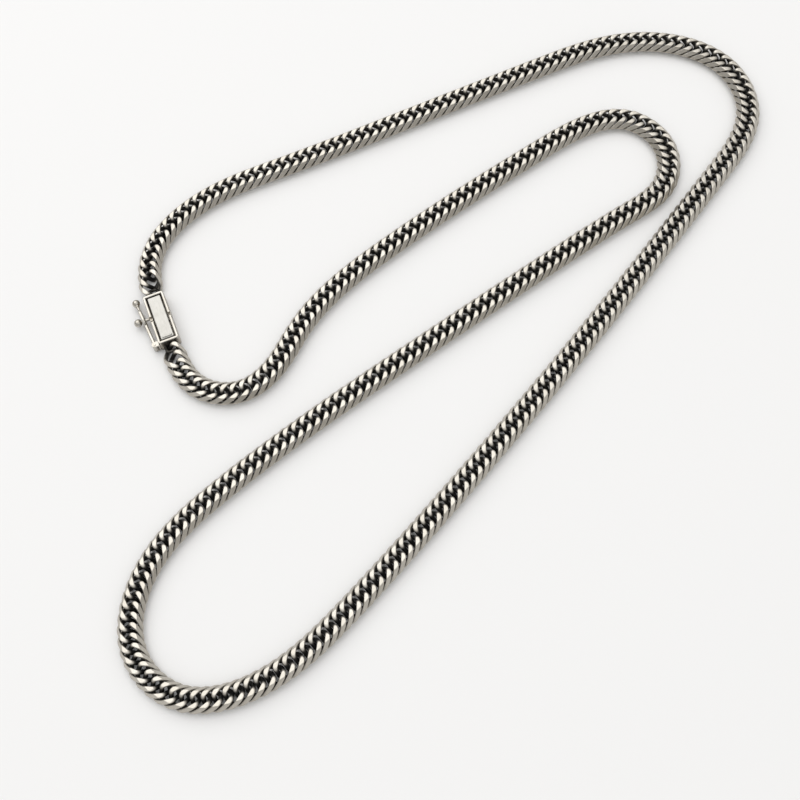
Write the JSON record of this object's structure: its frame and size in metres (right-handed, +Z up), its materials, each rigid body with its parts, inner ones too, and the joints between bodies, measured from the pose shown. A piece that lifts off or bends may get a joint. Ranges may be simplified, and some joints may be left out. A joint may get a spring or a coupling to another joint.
{
  "type": "chain necklace",
  "caption": "Six-sided double curb chain necklace whose ends meet in a box clasp with a press tongue and a side safety latch.",
  "frame": {"origin": "middle of the necklace's outline, on the surface that it lies on", "axes": "+Z up from the surface, +Y towards the loop that lies farthest from a wearer's side of the table, +X to the right; the clasp is on the -X side"},
  "size_m": [0.1213, 0.1368, 0.003],
  "materials": {
    "ground_silver": "bright ground facets with fine grain, oxidised dark inside the links",
    "polished_silver": "polished",
    "satin_silver": "satin, darkened in the corners",
    "plate_silver": "fine satin"
  },
  "bodies": {
    "socket_half": {"socket_shell": "satin_silver", "socket_rim": "polished_silver", "socket_end_loop": "polished_silver", "catch_stud": "polished_silver"},
    "tongue_half": {"tongue_base": "satin_silver", "tongue_rim": "polished_silver", "tongue_end_loop": "polished_silver", "tongue_spring": "satin_silver", "hinge_lugs": "polished_silver", "latch_pin": "polished_silver"},
    "safety_latch": {"latch_loop": "polished_silver", "latch_ball": "polished_silver"},
    "clasp_plate": {"tongue_plate": "plate_silver"},
    "chain_run_01": {"links_01": "ground_silver", "links_02": "ground_silver"},
    "chain_run_02": {"links_03": "ground_silver", "links_04": "ground_silver", "links_05": "ground_silver"},
    "chain_run_03": {"links_06": "ground_silver", "links_07": "ground_silver"},
    "chain_run_04": {"links_08": "ground_silver", "links_09": "ground_silver", "links_10": "ground_silver"},
    "chain_run_05": {"links_11": "ground_silver", "links_12": "ground_silver"},
    "chain_run_06": {"links_13": "ground_silver", "links_14": "ground_silver", "links_15": "ground_silver"},
    "chain_run_07": {"links_16": "ground_silver", "links_17": "ground_silver", "links_18": "ground_silver"},
    "chain_run_08": {"links_19": "ground_silver"},
    "chain_run_09": {"links_20": "ground_silver", "links_21": "ground_silver"},
    "chain_run_10": {"links_22": "ground_silver"},
    "chain_run_11": {"links_23": "ground_silver", "links_24": "ground_silver", "links_25": "ground_silver"},
    "chain_run_12": {"links_26": "ground_silver", "links_27": "ground_silver"},
    "chain_run_13": {"links_28": "ground_silver", "links_29": "ground_silver"},
    "chain_run_14": {"links_30": "ground_silver", "links_31": "ground_silver", "links_32": "ground_silver", "links_33": "ground_silver"},
    "chain_run_15": {"links_34": "ground_silver", "links_35": "ground_silver"},
    "chain_run_16": {"links_36": "ground_silver"},
    "chain_run_17": {"links_37": "ground_silver", "links_38": "ground_silver"},
    "chain_run_18": {"links_39": "ground_silver", "links_40": "ground_silver"}
  },
  "joints": [
    {"name": "chain_flex_01", "type": "hinge", "parent": "socket_half", "child": "chain_run_01", "pos_m": [-0.0567, 0.01022, 0.00125], "axis": [0, 0, -1], "range_deg": [-1.2, 4]},
    {"name": "chain_flex_02", "type": "hinge", "parent": "chain_run_01", "child": "chain_run_02", "pos_m": [-0.03864, 0.03599, 0.00125], "axis": [0, 0, -1], "range_deg": [-4, 1.2]},
    {"name": "chain_flex_03", "type": "hinge", "parent": "chain_run_02", "child": "chain_run_03", "pos_m": [-0.00413, 0.05083, 0.00125], "axis": [0, 0, -1], "range_deg": [-1.2, 4]},
    {"name": "chain_flex_04", "type": "hinge", "parent": "chain_run_03", "child": "chain_run_04", "pos_m": [0.02341, 0.06283, 0.00125], "axis": [0, 0, -1], "range_deg": [-4, 1.2]},
    {"name": "chain_flex_05", "type": "hinge", "parent": "chain_run_04", "child": "chain_run_05", "pos_m": [0.05783, 0.04558, 0.00125], "axis": [0, 0, -1], "range_deg": [-1.2, 4]},
    {"name": "chain_flex_06", "type": "hinge", "parent": "chain_run_05", "child": "chain_run_06", "pos_m": [0.03972, 0.01941, 0.00125], "axis": [0, 0, -1], "range_deg": [-4, 1.2]},
    {"name": "chain_flex_07", "type": "hinge", "parent": "chain_run_06", "child": "chain_run_07", "pos_m": [0.0166, -0.01019, 0.00125], "axis": [0, 0, 1], "range_deg": [-4, 4]},
    {"name": "chain_flex_08", "type": "hinge", "parent": "chain_run_07", "child": "chain_run_08", "pos_m": [-0.01112, -0.04331, 0.00125], "axis": [0, 0, 1], "range_deg": [-4, 4]},
    {"name": "chain_flex_09", "type": "hinge", "parent": "chain_run_08", "child": "chain_run_09", "pos_m": [-0.01993, -0.05307, 0.00125], "axis": [0, 0, -1], "range_deg": [-1.2, 4]},
    {"name": "chain_flex_10", "type": "hinge", "parent": "chain_run_09", "child": "chain_run_10", "pos_m": [-0.04753, -0.06492, 0.00125], "axis": [0, 0, -1], "range_deg": [-4, 1.2]},
    {"name": "chain_flex_11", "type": "hinge", "parent": "chain_run_10", "child": "chain_run_11", "pos_m": [-0.05521, -0.05107, 0.00125], "axis": [0, 0, 1], "range_deg": [-4, 4]},
    {"name": "chain_flex_12", "type": "hinge", "parent": "chain_run_11", "child": "chain_run_12", "pos_m": [-0.02705, -0.01747, 0.00125], "axis": [0, 0, 1], "range_deg": [-4, 4]},
    {"name": "chain_flex_13", "type": "hinge", "parent": "chain_run_12", "child": "chain_run_13", "pos_m": [-0.00595, -0.00179, 0.00125], "axis": [0, 0, 1], "range_deg": [-1.2, 4]},
    {"name": "chain_flex_14", "type": "hinge", "parent": "chain_run_13", "child": "chain_run_14", "pos_m": [0.02001, 0.0168, 0.00125], "axis": [0, 0, 1], "range_deg": [-4, 1.2]},
    {"name": "chain_flex_15", "type": "hinge", "parent": "chain_run_14", "child": "chain_run_15", "pos_m": [0.02071, 0.04305, 0.00125], "axis": [0, 0, 1], "range_deg": [-1.2, 4]},
    {"name": "chain_flex_16", "type": "hinge", "parent": "chain_run_15", "child": "chain_run_16", "pos_m": [-0.00542, 0.02471, 0.00125], "axis": [0, 0, 1], "range_deg": [-4, 1.2]},
    {"name": "chain_flex_17", "type": "hinge", "parent": "chain_run_16", "child": "chain_run_17", "pos_m": [-0.0099, 0.0213, 0.00125], "axis": [0, 0, 1], "range_deg": [0, 5.45]},
    {"name": "chain_flex_18", "type": "hinge", "parent": "chain_run_17", "child": "chain_run_18", "pos_m": [-0.03188, -0.00384, 0.00125], "axis": [0, 0, 1], "range_deg": [0, 4.58]},
    {"name": "clasp_slide", "type": "slide", "parent": "socket_half", "child": "tongue_half", "axis": [0.3746, -0.9272, 0], "range_m": [0, 0.006]},
    {"name": "latch_swing", "type": "hinge", "parent": "tongue_half", "child": "safety_latch", "pos_m": [-0.0553, -0.00075, 0.0013], "axis": [0, 0, 1], "range_deg": [0, 108.1]},
    {"name": "plate_press", "type": "hinge", "parent": "tongue_half", "child": "clasp_plate", "pos_m": [-0.056, 0.00846, 0.0014], "axis": [0.9272, 0.3746, 0], "range_deg": [0, 4], "stiffness_Nm_per_rad": 0.02}
  ],
  "couplings": [
    {"joint": "chain_flex_02", "follows": "chain_flex_01", "ratio": -1},
    {"joint": "chain_flex_05", "follows": "chain_flex_01", "ratio": 1},
    {"joint": "chain_flex_06", "follows": "chain_flex_01", "ratio": -1},
    {"joint": "chain_flex_04", "follows": "chain_flex_03", "ratio": -1},
    {"joint": "chain_flex_09", "follows": "chain_flex_03", "ratio": 1},
    {"joint": "chain_flex_10", "follows": "chain_flex_03", "ratio": -1},
    {"joint": "chain_flex_08", "follows": "chain_flex_07", "ratio": -1},
    {"joint": "chain_flex_11", "follows": "chain_flex_07", "ratio": 1},
    {"joint": "chain_flex_12", "follows": "chain_flex_07", "ratio": -1},
    {"joint": "chain_flex_14", "follows": "chain_flex_13", "ratio": -1},
    {"joint": "chain_flex_15", "follows": "chain_flex_13", "ratio": 1},
    {"joint": "chain_flex_16", "follows": "chain_flex_13", "ratio": -1},
    {"joint": "chain_flex_17", "follows": "clasp_slide", "rad_per_m": 15.81},
    {"joint": "chain_flex_18", "follows": "clasp_slide", "rad_per_m": 13.3},
    {"joint": "latch_swing", "follows": "clasp_slide", "rad_per_m": 314.16}
  ]
}
